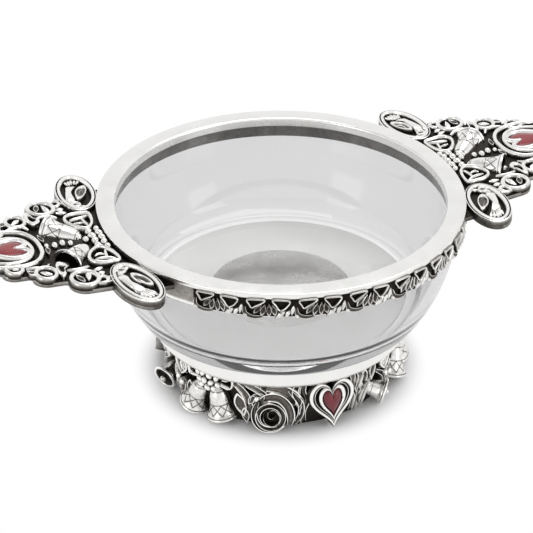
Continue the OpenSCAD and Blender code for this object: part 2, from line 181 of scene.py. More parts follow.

# Share of the marks that is kept on pieces darkened as painted shade
GARLAND_PAINTED_SHADE_SCALE = 0.8
FOOT_BELL_PAINTED_SHADE_SCALE = 0.85


# Outlines and paths
def curve(points, closed=False, per_span=8):
    """A smooth path through a few points, of any number of coordinates."""
    p = np.asarray(points, float)
    if closed:
        p = np.vstack([p[-1], p, p[:2]])
    else:
        p = np.vstack([2 * p[0] - p[1], p, 2 * p[-1] - p[-2]])
    t = np.linspace(0, 1, per_span, endpoint=False)[:, None]
    spans = []
    for a, b, c, d in zip(p[:-3], p[1:-2], p[2:-1], p[3:]):
        spans.append(0.5 * (2 * b + (c - a) * t + (2 * a - 5 * b + 4 * c - d) * t ** 2
                            + (3 * b - a - 3 * c + d) * t ** 3))
    if not closed:
        spans.append(p[-2:-1])
    return np.vstack(spans)


def arc(centre, radius, start, end, count=24):
    """Points on part of a circle, angles in degrees."""
    a = np.radians(np.linspace(start, end, count))
    return np.asarray(centre) + radius * np.stack([np.cos(a), np.sin(a)], 1)


def ellipse(centre, half, turn=0.0, count=64):
    """A closed ellipse whose first half axis is turned from +Y towards -X."""
    a = np.linspace(0, 2 * math.pi, count, endpoint=False)
    along = np.array([-math.sin(turn), math.cos(turn)])
    across = np.array([-math.cos(turn), -math.sin(turn)])
    return np.asarray(centre) + half[0] * np.cos(a)[:, None] * along + half[1] * np.sin(a)[:, None] * across


def heart(size, centre=(0, 0), count=72):
    """A heart along X with its tip at +X."""
    t = np.linspace(0, 2 * math.pi, count, endpoint=False)
    x = -(13 * np.cos(t) - 5 * np.cos(2 * t) - 2 * np.cos(3 * t) - np.cos(4 * t)) / 29
    y = np.sin(t) ** 3 / 2
    return np.asarray(centre) + np.stack([x * size[0], y * size[1]], 1)


def leaf(start, end, width, bulge=0.45, count=9):
    """A pointed leaf from one point to another, widest at the share bulge of its length."""
    start, end = np.asarray(start, float), np.asarray(end, float)
    axis = end - start
    side = np.array([-axis[1], axis[0]]) / np.hypot(*axis)
    t = np.linspace(0, 1, count)
    half = width / 2 * np.sin(math.pi * t ** (math.log(0.5) / math.log(bulge)))
    right = start + t[:, None] * axis + half[:, None] * side
    left = start + t[:, None] * axis - half[:, None] * side
    return np.vstack([right, left[-2:0:-1]])


# Cross-sections of a strip: offset as a share of the width, height as a share of the rise, mark
def round_section(count=9):
    """A round top with short upright sides."""
    t = np.linspace(0, math.pi, count)
    top = np.stack([-0.5 * np.cos(t), np.sin(t) ** 0.7, 0.2 + 0.8 * np.sin(t) ** 0.8], 1)
    return np.vstack([[-0.5, -0.3, 0], top, [0.5, -0.3, 0]])


ROUND = round_section()
EDGED = np.array([
    (-0.5, -0.3, 0.15), (-0.5, 0.75, 0.6), (-0.46, 1, 1), (-0.36, 1, 1), (-0.27, 0.72, 0.46),
    (-0.13, 0.62, 0.4), (0, 0.6, 0.43), (0.13, 0.62, 0.4), (0.27, 0.72, 0.46), (0.36, 1, 1), (0.46, 1, 1),
    (0.5, 0.75, 0.6), (0.5, -0.3, 0.15)
])
GROOVED = np.array([
    (-0.5, -0.3, 0.3), (-0.5, 0.5, 0.5), (-0.44, 0.85, 0.95), (-0.32, 0.9, 1), (-0.25, 0.55, 0.3),
    (-0.17, 0.6, 0.35), (-0.1, 0.95, 0.95), (0.1, 1, 1), (0.32, 1, 1), (0.44, 0.8, 0.85), (0.5, 0.3, 0.4),
    (0.5, -0.3, 0.2)
])
WALL = np.array([
    (-0.5, -0.3, 0.05), (-0.42, 0.5, 0.25), (-0.26, 0.92, 0.8), (-0.05, 1, 1), (0.2, 0.94, 0.9),
    (0.3, 0.7, 0.35), (0.5, -0.3, 0.05)
])

# Rings of a filled form: share of the outline, height as a share of the rise, mark
BROAD = [
    (1, -0.3, 0.15), (1, 0.75, 0.7), (0.95, 1, 1), (0.76, 1, 1), (0.64, 0.66, 0.44), (0.3, 0.58, 0.38),
    (0.03, 0.62, 0.42)
]
VEINED = [
    (1, -0.3, 0.05), (1, 0.5, 0.3), (0.9, 0.9, 0.95), (0.74, 1, 1), (0.55, 0.8, 0.35), (0.25, 0.75, 0.3),
    (0.03, 0.9, 0.7)
]
HOLED = [
    (1, -0.3, 0.15), (1, 0.7, 0.6), (0.95, 0.95, 1), (0.75, 1.05, 1), (0.52, 0.95, 0.95), (0.42, 0.4, 0.15),
    (0.03, 0.34, 0.12)
]
DOME = [(1, -0.3, 0), (1, 0.15, 0.3), (0.95, 0.5, 0.75), (0.8, 0.82, 1), (0.5, 0.97, 1), (0.03, 1, 1)]
RIMMED = [
    (1, -0.3, 0.15), (1, 0.7, 0.6), (0.96, 0.97, 1), (0.8, 1, 1), (0.68, 0.7, 0.42), (0.4, 0.6, 0.34),
    (0.03, 0.64, 0.4)
]


def new_object(name, data):
    """An object in the scene."""
    obj = bpy.data.objects.new(name, data)
    bpy.context.scene.collection.objects.link(obj)
    return obj


class Casting:
    """Closed shapes that make one piece. A point's mark is 0 in a hollow and 1 on a rubbed ridge; on enamel
    it is painted light, high on the crown and low at the edges.
    """

    def __init__(self, place):
        self.place = place
        self.points = []
        self.faces = []
        self.marks = []

    def loft(self, rings, marks, closed=False):
        """Joins rings of points into a skin, and caps its ends unless it closes on itself."""
        rings = np.asarray(rings, float)
        count, size = rings.shape[:2]
        start = len(self.points)
        self.points.extend(self.place(rings.reshape(-1, 3)))
        self.marks.extend(np.broadcast_to(marks, (count, size)).ravel())
        index = start + np.arange(count * size).reshape(count, size)
        nearer = index if closed else index[:-1]
        further = np.roll(index, -1, 0) if closed else index[1:]
        quads = np.stack([nearer, np.roll(nearer, -1, 1), np.roll(further, -1, 1), further], -1)
        self.faces.extend(map(tuple, quads.reshape(-1, 4).tolist()))
        if not closed:
            self.faces.append(tuple(index[0][::-1].tolist()))
            self.faces.append(tuple(index[-1].tolist()))

    def strip(self, path, width, rise, base=0.0, section=ROUND, closed=False, taper=0.0):
        """Sweeps a section along a flat path. taper thins and lowers the ends."""
        path = np.asarray(path, float)
        if closed:
            ahead = np.roll(path, -1, 0) - np.roll(path, 1, 0)
        else:
            ahead = np.gradient(path, axis=0)
        ahead /= np.linalg.norm(ahead, axis=1, keepdims=True)
        side = np.stack([-ahead[:, 1], ahead[:, 0]], 1)
        share = np.ones(len(path))
        if taper:
            share -= taper * np.abs(np.linspace(-1, 1, len(path))) ** 3
        tall = share * rise
        flat = path[:, None, :] + side[:, None, :] * (section[:, 0] * width * share[:, None])[..., None]
        rings = np.concatenate([flat, (base + section[:, 1] * tall[:, None])[..., None]], -1)
        self.loft(rings, section[:, 2], closed)

    def form(self, outline, rise, base=0.0, levels=DOME, centre=None):
        """Fills an outline with rings that shrink towards a centre."""
        outline = np.asarray(outline, float)
        centre = outline.mean(0) if centre is None else np.asarray(centre, float)
        rings = []
        for share, height, _ in levels:
            flat = centre + (outline - centre) * share
            rings.append(np.column_stack([flat, np.full(len(flat), base + height * rise)]))
        self.loft(rings, np.array([level[2] for level in levels])[:, None])

    def bead(self, centre, half, height, lift=0.0, turn=0.0):
        """An oval bead that stands on a base of the given height."""
        angles = np.radians([-35, -10, 12, 32, 50, 66, 80, 88])
        levels = [(math.cos(a), math.sin(a), 0.25 + 0.75 * max(0, math.sin(a)) ** 0.5) for a in angles]
        self.form(ellipse(centre, half, turn, 14), max(half) * 0.95, height + lift, levels, centre)

    def turned(self, rows, into, floor=NO_FLOOR, count=32, cut=None):
        """Turns rows of (along, radius, mark) about an axis, flat below a floor. cut engraves lines."""
        rings, marks = [], []
        for along, radius, mark in rows:
            low = math.asin(max(-1.0, min(1.0, floor / radius)))
            a = np.linspace(low, math.pi - low, count)
            depth = np.zeros(count) if cut is None else cut(along, a)
            r = radius - ENGRAVED * depth
            rings.append(np.stack([np.full(count, along), r * np.cos(a), r * np.sin(a)], 1))
            marks.append(mark - ENGRAVED_MARK * depth)
        rings = np.asarray(rings)
        self.loft(into(rings.reshape(-1, 3)).reshape(rings.shape), marks)

    def lathe(self, rows, marks, count=192):
        """Turns a closed half profile of (radius, height) about the Z axis."""
        rows = np.asarray(rows, float)
        a = np.linspace(0, 2 * math.pi, count, endpoint=False)[:, None]
        tall = np.broadcast_to(rows[:, 1], (count, len(rows)))
        self.loft(np.stack([rows[:, 0] * np.cos(a), rows[:, 0] * np.sin(a), tall], -1), marks, closed=True)

    def finish(self, name, material, nodes, painted_shade_scale=1.0):
        """Makes the mesh object, in metres, that stands for the nodes. A last argument below 1 darkens its
        marks as painted shade.
        """
        mesh = bpy.data.meshes.new(name)
        mesh.from_pydata((np.asarray(self.points) * MM).tolist(), [], self.faces)
        body = bmesh.new()
        body.from_mesh(mesh)
        bmesh.ops.recalc_face_normals(body, faces=body.faces)
        body.to_mesh(mesh)
        body.free()
        colours = mesh.color_attributes.new("relief", "FLOAT_COLOR", "POINT")
        marks = painted_shade_scale * np.asarray(self.marks)
        opaque = np.ones(len(marks))
        colours.data.foreach_set("color", np.column_stack([marks, marks, marks, opaque]).ravel())
        mesh.shade_smooth()
        mesh.set_sharp_from_angle(angle=SHARP)
        mesh.materials.append(material)
        piece = new_object(name, mesh)
        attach(piece, "root")
        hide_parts(*nodes)

    def pewter(self, name, node, painted_shade_scale=1.0):
        """Finishes a cast pewter piece that stands for one node."""
        self.finish(name, PEWTER, [node], painted_shade_scale)


# Places in the object for shapes that are drawn flat
def as_drawn(points):
    """No change, for shapes drawn in the object's own frame."""
    return points


def on_handle(side):
    """The tilted plane of a handle."""
    sign = 1 if side == "right" else -1
    c, s = math.cos(TILT), math.sin(TILT)

    def place(p):
        x = RIM_R + p[:, 0] * c - p[:, 2] * s
        return np.stack([sign * x, sign * p[:, 1], HANDLE_Z + p[:, 0] * s + p[:, 2] * c], 1)

    return place


def on_wall(azimuth, radius, flip=1):
    """The outside of a cylinder about the Z axis, with the drawing bent round it."""
    def place(p):
        a = math.radians(azimuth) + flip * p[:, 0] / radius
        r = radius + p[:, 2]
        return np.stack([r * np.cos(a), r * np.sin(a), p[:, 1]], 1)

    return place


def on_tangent(azimuth, radius):
    """The flat plane that touches a cylinder about the Z axis."""
    a = math.radians(azimuth)
    c, s = math.cos(a), math.sin(a)

    def place(p):
        r = radius + p[:, 2]
        return np.stack([r * c - p[:, 0] * s, r * s + p[:, 0] * c, p[:, 1]], 1)

    return place


def leaning(azimuth, height, tilt, rise):
    """A plane on the foot's wall that leans out at its lower side."""
    wall = on_tangent(azimuth, FOOT_R)
    c, s = math.cos(tilt), math.sin(tilt)

    def place(p):
        y, z = p[:, 1], p[:, 2] + rise
        return wall(np.stack([p[:, 0], height + y * c - z * s, y * s + z * c], 1))

    return place


def along_axis(origin, axis, across, out):
    """Axes for turned work: along, across and out of the surface."""
    basis = np.array([axis, across, out], float)

    def place(p):
        return np.asarray(origin, float) + p @ basis

    return place


# Materials
def feed(node, inputs):
    """Links sockets to a node's inputs, or sets plain values."""
    for socket, source in inputs.items():
        if isinstance(source, bpy.types.NodeSocket):
            node.id_data.links.new(source, node.inputs[socket])
        else:
            node.inputs[socket].default_value = source


def node_adder(tree):
    """A helper that adds nodes to a tree and feeds them."""
    def add(kind, inputs=None, **values):
        node = tree.nodes.new(kind)
        for key, value in values.items():
            setattr(node, key, value)
        feed(node, inputs or {})
        return node

    return add


def new_material(name):
    """A node material, its shader, its output and a helper that adds nodes to it."""
    material = bpy.data.materials.new(name)
    material.use_nodes = True
    nodes = material.node_tree.nodes
    return material, nodes["Principled BSDF"], nodes["Material Output"], node_adder(material.node_tree)


def ramp(add, source, stops):
    """Colours by a factor. stops are (place, colour)."""
    node = add("ShaderNodeValToRGB", {"Fac": source})
    elements = node.color_ramp.elements
    while len(elements) < len(stops):
        elements.new(0.5)
    for element, (place, colour) in zip(elements, stops):
        element.position = place
        element.color = (*colour, 1)
    return node.outputs["Color"]


def maths(add, operation, *inputs, clamp=False):
    """The result of a sum on sockets or numbers."""
    return add("ShaderNodeMath", dict(enumerate(inputs)), operation=operation, use_clamp=clamp).outputs[0]


def noise(add, scale, detail, roughness=0.5):
    """Noise in the piece's own space."""
    place = add("ShaderNodeTexCoord").outputs["Object"]
    inputs = {"Vector": place, "Scale": scale, "Detail": detail, "Roughness": roughness}
    return add("ShaderNodeTexNoise", inputs).outputs["Fac"]


def uneven(add, factor, *noises):
    """A factor that noises move up and down, kept between 0 and 1. Each is (noise, span)."""
    shift, *others = [maths(add, "MULTIPLY_ADD", source, span, -span / 2) for source, span in noises]
    for other in others:
        shift = maths(add, "ADD", shift, other)
    return maths(add, "ADD", factor, shift, clamp=True)


def cast_pewter():
    """Dark patina in the hollows and rubbed metal on the ridges, by the pieces' marks; on the garland and
    the foot's hanging bells the marks are also scaled down as painted shade.
    """
    material, shader, _, add = new_material("cast_pewter")
    marks = add("ShaderNodeAttribute", attribute_name="relief").outputs["Fac"]
    grain = noise(add, 900.0, 4.0, 0.6)
    level = uneven(add, marks, (grain, 0.24), (noise(add, 140.0, 3.0), 0.24))
    bump = add("ShaderNodeBump", {"Height": grain, "Strength": 0.15, "Distance": 0.0002})
    feed(shader, {
        "Base Color": ramp(add, level, [
            (0.0, (0.014, 0.012, 0.01)), (0.22, (0.04, 0.035, 0.03)), (0.42, (0.13, 0.12, 0.11)),
            (0.62, (0.38, 0.365, 0.345)), (0.84, (0.86, 0.85, 0.83)), (1.0, (0.95, 0.945, 0.93))
        ]),
        "Roughness": ramp(add, level, [(0.1, (0.5, 0.5, 0.5)), (0.9, (0.2, 0.2, 0.2))]),
        "Normal": bump.outputs["Normal"],
        "Metallic": 1.0
    })
    return material


def polished_pewter():
    """Buffed metal with faint clouding and fine scratches."""
    material, shader, _, add = new_material("polished_pewter")
    cloud = noise(add, 90.0, 4.0, 0.6)
    fine = noise(add, 1500.0, 2.0)
    bump = add("ShaderNodeBump", {"Height": fine, "Strength": 0.05, "Distance": 0.0001})
    feed(shader, {
        "Base Color": ramp(add, cloud, [(0.3, (0.855, 0.848, 0.83)), (0.7, (0.905, 0.9, 0.885))]),
        "Roughness": ramp(add, cloud, [(0.3, (0.2, 0.2, 0.2)), (0.7, (0.3, 0.3, 0.3))]),
        "Normal": bump.outputs["Normal"],
        "Metallic": 1.0
    })
    return material


def clear_glass():
    """Clear glass that lets lamp light through, greyer in the walls than in the base: the grey is painted
    shade.
    """
    material, shader, output, add = new_material("clear_glass")
    place = add("ShaderNodeTexCoord").outputs["Object"]
    level = add("ShaderNodeVectorMath", {0: place, 1: (1, 1, 0)}, operation="MULTIPLY").outputs[0]
    reach = add("ShaderNodeVectorMath", {0: level}, operation="LENGTH").outputs["Value"]
    wall = add("ShaderNodeMapRange", {0: reach, 1: BOND_R * MM, 2: (BOND_R + WALL_SHADE_W) * MM}).outputs[0]
    # The walls' grey is painted shade; the base is left clear.
    wall_shade = uneven(add, wall, (noise(add, 35.0, 2.0), 0.3))
    feed(shader, {
        "Base Color": ramp(add, wall_shade, [
            (0.1, (0.97, 0.97, 0.97)), (0.8, (0.745, 0.745, 0.75)), (1.0, (0.715, 0.715, 0.722))
        ]),
        "Roughness": 0.0,
        "IOR": 1.5,
        "Transmission Weight": 1.0
    })
    body = add("ShaderNodeVolumeAbsorption", {"Color": (0.02, 0.0, 0.0, 1), "Density": 6.0})
    through = add("ShaderNodeBsdfTransparent", {"Color": (0.97, 0.97, 0.975, 1)})
    lit = add("ShaderNodeLightPath").outputs["Is Shadow Ray"]
    mixed = add("ShaderNodeMixShader", {0: lit, 1: shader.outputs["BSDF"], 2: through.outputs["BSDF"]})
    feed(output, {"Volume": body.outputs["Volume"], "Surface": mixed.outputs["Shader"]})
    return material


def red_enamel():
    """Deep red enamel with painted light: lighter where its mark is high, on the crown, and darker towards
    the edges.
    """
    material, shader, _, add = new_material("red_enamel")
    marks = add("ShaderNodeAttribute", attribute_name="relief").outputs["Fac"]
    level = uneven(add, marks, (noise(add, 320.0, 3.0), 0.4))
    feed(shader, {
        "Base Color": ramp(add, level, [
            (0.0, (0.035, 0.002, 0.006)), (0.5, (0.14, 0.006, 0.014)), (1.0, (0.3, 0.022, 0.03))
        ]),
        "Roughness": 0.22,
        "Coat Weight": 0.25,
        "Coat Roughness": 0.12
    })
    return material


def pale_resin():
    """The bedding under the glass and in the rim mount."""
    material, shader, _, add = new_material("pale_resin")
    cloud = noise(add, 60.0, 3.0)
    feed(shader, {
        "Base Color": ramp(add, cloud, [(0.3, (0.88, 0.88, 0.86)), (0.7, (0.93, 0.93, 0.915))]),
        "Roughness": 0.4
    })
    return material


PEWTER = cast_pewter()
POLISHED = polished_pewter()
GLASS = clear_glass()
ENAMEL = red_enamel()
RESIN = pale_resin()


# Bowl, rim and foot, turned about the Z axis
def bowl_profile(radius, corner, floor, top):
    """Half profile of a bowl from near its axis out and up: a floor, a rounded corner and an arc."""
    reach = math.sqrt((radius - corner) ** 2 - (ARC_Z - floor - corner) ** 2) - ARC_OFFSET
    middle = (reach, floor + corner)
    turn = math.degrees(math.atan2(middle[1] - ARC_Z, reach + ARC_OFFSET))
    flat = np.column_stack([np.linspace(AXIS_R, reach, 6, endpoint=False), np.full(6, floor)])
    side = arc((-ARC_OFFSET, ARC_Z), radius, turn, 0, 40)
    return np.vstack([flat, arc(middle, corner, -90, turn, 14), side[1:], [[radius - ARC_OFFSET, top]]])


def make_glass():
    """The bowl, its outside and its inside in one closed profile."""
    cast = Casting(as_drawn)
    outside = bowl_profile(GLASS_OUT + ARC_OFFSET, CORNER_OUT, GLASS_BASE, GLASS_TOP)
    inside = bowl_profile(GLASS_IN + ARC_OFFSET, CORNER_IN, GLASS_FLOOR, GLASS_TOP)
    cast.lathe(np.vstack([outside, inside[::-1]]), PLAIN, SIDES)
    cast.finish("bowl_of_glass", GLASS, ["glass_bowl"])


def make_rim():
    """The polished face with its inside lip, and the darker apron that hangs from it."""
    cast = Casting(as_drawn)
    round_r = 0.8
    edge_r = 0.35
    cast.lathe(np.vstack([
        [[FACE_IN + LIP_T, TOTAL_H - LIP_H], [FACE_IN, TOTAL_H - LIP_H]],
        arc((FACE_IN + round_r, TOTAL_H - round_r), round_r, 180, 90, 8),
        arc((RIM_R - edge_r, TOTAL_H - edge_r), edge_r, 90, 0, 6),
        [[RIM_R, FLANGE_Z], [FACE_IN + LIP_T, FLANGE_Z]]
    ]), PLAIN, SIDES)
    cast.finish("rim_mount", POLISHED, ["rim_collar"])
    cast = Casting(as_drawn)
    bead = 0.35
    bevel = 0.2
    band = (1, 1.4)
    wall_r = APRON_R - 0.12
    cast.lathe(np.vstack([
        [[APRON_IN, FLANGE_Z], [APRON_IN, APRON_Z + bevel]],
        arc((APRON_R - bead, APRON_Z + bead), bead, -90, 0, 5),
        [[APRON_R, APRON_Z + band[0]], [wall_r, APRON_Z + band[1]], [wall_r, FLANGE_Z]]
    ]), [0.6, 0.6, 0.7, 0.8, 0.9, 0.95, 0.95, 0.8, 0.55, 0.5], SIDES)
    cast.pewter("rim_apron", "rim_collar")


def make_drum():
    """A closed top with a low boss under the glass, a plain wall and a turned-in lower edge."""
    cast = Casting(as_drawn)
    low = FOOT_H + DRUM_T
    high = DRUM_TOP - DRUM_T
    boss = GLASS_BASE - BED_GAP
    edge_r = 0.4
    turn_at = (DRUM_R - DRUM_TURN, FOOT_H + DRUM_TURN)
    cast.lathe(np.vstack([
        [[FOOT_IN, FOOT_H]],
        arc(turn_at, DRUM_TURN, -90, 0, 10),
        arc((DRUM_R - edge_r, DRUM_TOP - edge_r), edge_r, 0, 90, 6),
        [[BOSS_R, DRUM_TOP], [BOSS_R, boss], [AXIS_R, boss], [AXIS_R, high], [DRUM_R - DRUM_T, high]],
        arc(turn_at, DRUM_TURN - DRUM_T, 0, -90, 8),
        [[FOOT_IN, low]]
    ]), PLAIN, SIDES)
    cast.finish("foot_drum_wall", POLISHED, ["foot_drum"])


def make_bond():
    """The bedding between the drum's top and the glass."""
    cast = Casting(as_drawn)
    inside = BOSS_R + BED_SIDE
    low, high = DRUM_TOP + BED_LIFT, GLASS_BASE - BED_GAP
    cast.lathe([(inside, low), (BOND_R, low), (BOND_R, high), (inside, high)], PLAIN)
    cast.finish("bedding_ring", RESIN, ["foot_bond"])


def make_foot_ring():
    """The wall, with broad ribbons round the roses and leaves in the gaps."""
    cast = Casting(as_drawn)
    edge = 0.3
    bead_r = FOOT_R + BEAD_OUT
    bead_low = FOOT_H - 2.1
    slope_low = FOOT_H - 3.9
    cast.lathe([
        (FOOT_IN, 0), (FOOT_R - edge, 0), (FOOT_R, edge), (FOOT_R, slope_low),
        (bead_r - edge, bead_low - edge), (bead_r, bead_low), (bead_r, FOOT_H), (FOOT_IN, FOOT_H)
    ], [0.3, 0.3, 0.2, 0.15, 0.2, 0.35, 0.35, 0.2])

    def ribbon(points, width, rise, taper=0.5):
        cast.strip(curve(points), width, rise, section=EDGED, taper=taper)

    def sprig(start, end, width, rise=2.2):
        cast.form(leaf(start, end, width), rise, levels=BROAD)

    for third in range(3):
        cast.place = on_wall(THIRD * third + ROSE_AZ, FOOT_R)
        ribbon([(-4.6, 15.6), (0, 17.2), (4.4, 16), (7.4, 12.6), (8.2, 8.6)], 4.6, 3.4, 0.75)
        ribbon([(-13.6, 16.6), (-10.6, 15.4), (-8.2, 12.4), (-7.4, 8.4), (-7.8, 4.4)], 3, 2.8, 0.5)
        ribbon([(-9.6, 17.2), (-6, 16.8), (-3, 14.8), (-1.4, 12.4)], 2.6, 3.2, 0.5)
        ribbon([(5.4, 15.8), (8.6, 11.8), (8.8, 6.8), (6.6, 1.6)], 2.2, 4, 0.5)
        sprig((-11.6, 13.2), (-9, 3.4), 4.4, 2.4)
        sprig((-9.2, 7.6), (-8.2, 0.8), 2.8)
        sprig((-5.4, 13.6), (-7.6, 9.4), 2.4, 2.8)
    for third in range(3):
        cast.place = on_wall(SIDE_BELL_AZ + THIRD * third, FOOT_R)
        sprig((-4.8, 17), (-5, 8.4), 3.4, 2.4)
        sprig((-1, 18.3), (-1.8, 10.4), 3.2, 2.8)
        ribbon([(-6.8, 1.4), (-6.4, 5.6), (-4.4, 9.6), (-1.6, 11.6)], 2.2, 3.2)
        ribbon([(5.6, 1.2), (6.2, 5), (5, 9), (2.6, 11.4)], 2, 2.8)
        sprig((9.4, 9.6), (8, 1.4), 4, 2.6)
        sprig((12.6, 10.4), (12.4, 2), 3.4, 2.2)
        cast.bead((6.6, 8.4), (1.5, 1.2), 2.2)
        cast.bead((9.2, 7.6), (1.4, 1.2), 2.6)
    cast.pewter("foot_wall", "foot_ring")


# Garland under the rim
def motif(cast, x):
    """One palmette: two pointed loops, a fan of petals and ragged leaves."""
    def at(points):
        return np.asarray(points, float) + (x, APRON_Z)

    for corners in (
            [(-6.3, 6.9), (-3.6, 7.2), (-0.9, 7.1), (-1.7, 6.1), (-3.7, 4.9), (-4.9, 4.2), (-5.7, 5.4)],
            [(1.5, 7.1), (4, 7.2), (6.7, 6.8), (6.2, 5.3), (5, 4), (3.7, 3.6), (2.6, 5.3)]):
        cast.strip(at(curve(corners, closed=True, per_span=5)), 0.85, 1.9, closed=True)
    for start, end, width in (
            ((-1.5, 5.8), (-4.4, 1.9), 1.8), ((-0.6, 6.4), (-2, 1.1), 1.9), ((0.5, 6.7), (0.4, 0.8), 1.8),
            ((1.3, 6.2), (2.5, 1.3), 1.8), ((2.4, 4.4), (4.6, 2.2), 1.6)):
        cast.form(at(leaf(start, end, width, 0.6)), 1.7, levels=VEINED)
    tail = curve([(-7.3, 4), (-6.8, 2), (-4.6, 0.9), (-1.6, 0.7)])
    cast.strip(at(tail), 1.5, 1.6, section=EDGED, taper=0.5)
    for start, end, width in (
            ((5.6, 3.4), (2.2, 0.2), 2), ((6.9, 3.7), (5.3, 0.4), 1.6), ((8.1, 5.6), (7.2, 1), 1.5),
            ((-7.7, 2), (-6, 0.1), 1.4)):
        cast.form(at(leaf(start, end, width, 0.45)), 1.6)


def make_garland(name, azimuth):
    """A dark band round part of the apron, with palmettes on it."""
    cast = Casting(on_wall(azimuth + GARLAND_TURN, APRON_R))
    step = math.radians(MOTIF_STEP) * APRON_R
    half = step * MOTIFS / 2
    steps = 80
    low = APRON_Z + BAND_LOW
    section = [
        (low, BAND_LIFT, 0.05), (low, BAND_T, 0.1), (FLANGE_Z, BAND_T, 0.02), (FLANGE_Z, BAND_LIFT, 0.02)
    ]
    rings = [[(x, y, z) for y, z, _ in section] for x in np.linspace(-half, half, steps)]
    cast.loft(rings, [mark for _, _, mark in section])
    for i in range(MOTIFS):
        motif(cast, (i - (MOTIFS - 1) / 2) * step)
    # The garland's marks are scaled down as painted shade.
    cast.pewter(name + "_relief", name, GARLAND_PAINTED_SHADE_SCALE)


# Handles
def loop_edges(y):
    """The loop's lowest and highest x at a distance y from the handle's middle, or None outside it."""
    along = np.array([-math.sin(LOOP_TURN), math.cos(LOOP_TURN)]) / LOOP_HALF[0]
    across = np.array([math.cos(LOOP_TURN), math.sin(LOOP_TURN)]) / LOOP_HALF[1]
    dy = y - LOOP_AT[1]
    square = along[0] ** 2 + across[0] ** 2
    cross = dy * (along[0] * along[1] + across[0] * across[1])
    rest = dy ** 2 * (along[1] ** 2 + across[1] ** 2) - 1
    under = cross ** 2 - square * rest
    if under < 0:
        return None
    root = math.sqrt(under)
    return LOOP_AT[0] + (-cross - root) / square, LOOP_AT[0] + (-cross + root) / square


def plate_edges(y):
    """The plate's x at the rim and at its outside, at a distance y from the handle's middle."""
    y = abs(y)
    loop = loop_edges(y)
    outside = [loop[1]] if loop else []
    for x, middle, radius in SCROLLS:
        if abs(y - middle) < radius:
            outside.append(x + math.sqrt(radius ** 2 - (y - middle) ** 2))
    xs, ys = zip(*EDGE)
    if y <= ys[0]:
        outside.append(np.interp(-y, -np.array(ys), xs))
    inside = math.sqrt(APRON_R ** 2 - y ** 2) - RIM_R if y <= WEB_Y else loop[0]
    return inside, max(outside)


def handle_plate(cast):
    """The dark recessed plate, as sections across the handle, closer where its edge jumps."""
    step = 0.02
    edge = 0.25
    along = 361
    across = 12
    jumps = [middle + k * radius for _, middle, radius in SCROLLS for k in (-1, 1)] + [WEB_Y, EDGE[0][1]]
    close = [[-j - step, -j + step, j - step, j + step] for j in jumps]
    ys = np.concatenate([np.linspace(-PLATE_END, PLATE_END, along)] + close)
    rings = []
    for y in np.unique(np.clip(ys, -PLATE_END, PLATE_END)):
        x0, x1 = plate_edges(y)
        top = [(x, y, RECESS_Z) for x in np.linspace(x0 + edge, x1 - edge, across)]
        rings.append([(x0, y, 0), (x0, y, RECESS_Z - edge)] + top + [(x1, y, RECESS_Z - edge), (x1, y, 0)])
    cast.loft(rings, [0.3, 0.45] + [0.15] * across + [0.62, 0.42])


def mirrored(points, m):
    """Points on one half of a handle. m is 1 or -1."""
    return np.asarray(points, float) * (1, m)


def handle_half(cast, m):
    """Raised work on one side of a handle: the dove's loop, the scrolls and the leaves between them."""
    z = RECESS_Z

    def line(points, width, rise, section=ROUND, taper=0.0, closed=False):
        cast.strip(mirrored(points, m), width, rise, z, section, closed, taper)

    def shape(points, rise, levels=RIMMED):
        cast.form(mirrored(points, m), rise, z, levels)

    line(ellipse(LOOP_AT, LOOP_HALF - 1.1, LOOP_TURN)[::m], 2.2, 1.9, GROOVED, closed=True)
    (x1, y1, r1), (x2, y2, _), (x3, y3, _) = SCROLLS
    line(ellipse((x1 + 0.2, y1), (r1 - 0.9, r1 - 0.9), count=40), 1.9, 1.9, closed=True)
    shape(leaf((x1 - 1.9, y1 - 3.6), (x1 - 0.4, y1 + 2.6), 2.2, 0.35), 1.8, DOME)
    shape(leaf((x1 + 0.9, y1 + 2.6), (x1 + 2.5, y1 - 2.6), 1.9), 1.5)
    line(curve([(12, 25.6), (9.6, 23.8), (8.2, 25.6), (9.4, 27.4), (11.8, 27)]), 1.5, 1.7, taper=0.3)
    shape(leaf((6.4, 24.4), (9.6, 28.4), 2.4), 1.5)
    shape(leaf((7.6, 21.4), (10.8, 21.8), 2), 1.5, DOME)
    shape(leaf((7.4, 18.6), (11.4, 19.6), 1.7), 1.6, DOME)
    line(curve([(11.6, 16.4), (14, 17.6), (16.8, 17.8), (19, 17)]), 1.7, 1.8, taper=0.35)
    petal = [(18.6, 13.4), (20.6, 12.4), (22, 14.2), (22.4, 17.4), (21.6, 21.4), (20.2, 20.4), (19.6, 17.4),
             (18, 15.6)]
    shape(curve(petal, closed=True, per_span=5), 2, HOLED)
    line(ellipse((x2 + 0.3, y2 + 0.2), (3.6, 3.2), count=40), 1.8, 1.8, closed=True)
    shape(leaf((x2 - 1.7, y2 + 1.6), (x2 + 2.2, y2 - 1.2), 2), 1.5, DOME)
    line(curve([(31, 12.4), (28, 13.2), (24.8, 13.6), (22.9, 11.4)]), 1.5, 1.7, taper=0.4)
    line(ellipse((x3 + 0.2, y3 + 0.3), (3.1, 2.6), count=40), 1.7, 1.7, closed=True)
    shape(leaf((x3 - 1.4, y3 + 1.2), (x3 + 1.8, y3 - 1), 1.7), 1.5, DOME)
    shape(leaf((x2 + 3.6, y2 + 0.8), (x3 - 3, y3 + 3), 2.2), 1.6)
    shape(leaf((x3 + 3.2, y3 - 0.4), (x3 + 7.6, y3 - 3.4), 2.4), 1.6)
    shape(leaf((20.8, 1.6), (21.6, 6.6), 1.5), 1.5)
    line(curve([(38.4, 10.6), (41, 8.8), (44.8, 5.2), (48.4, 1.1)]), 1.4, 1.6, taper=0.3)


